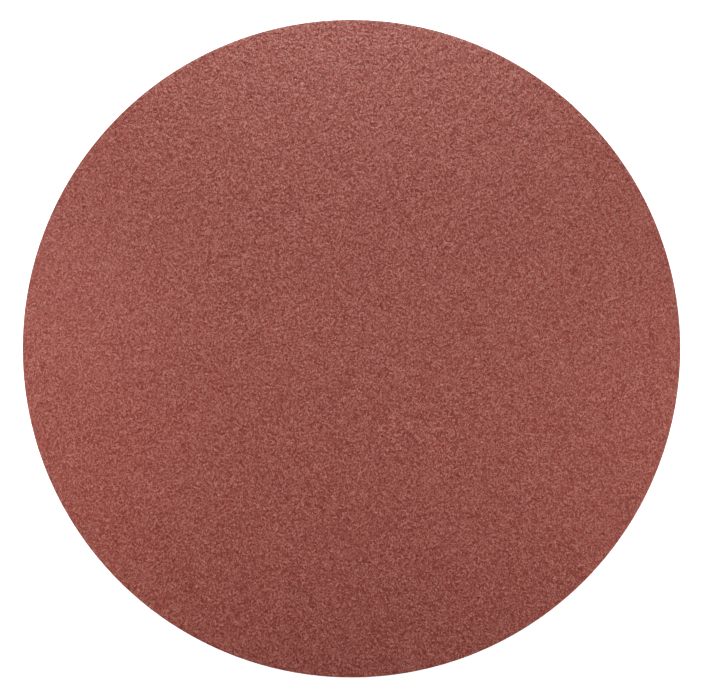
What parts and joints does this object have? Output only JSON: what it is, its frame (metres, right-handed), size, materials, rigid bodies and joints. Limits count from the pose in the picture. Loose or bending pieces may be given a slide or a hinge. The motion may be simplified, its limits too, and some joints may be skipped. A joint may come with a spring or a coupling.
{
  "type": "hook and loop sanding disc",
  "caption": "Thin round sanding disc: a red-brown grit face on backing paper, with a loop fabric back that grips a hook-faced sander pad.",
  "frame": {"origin": "centre of the loop face, on the surface the disc rests on", "axes": "+Z out of the grit face along the disc's axis; +X and +Y lie in the loop face, with +Y towards the top of the picture"},
  "size_m": [0.15, 0.15, 0.0016],
  "materials": {
    "loop_fabric": "brushed off-white nylon loops",
    "backing_paper": "dull tan fibrous paper, die-cut",
    "abrasive_coat": "rough closed coat of mineral grains in red-brown resin"
  },
  "bodies": {
    "root": {"loop_fabric": "loop_fabric", "backing_paper": "backing_paper", "abrasive_coat": "abrasive_coat"}
  },
  "joints": []
}
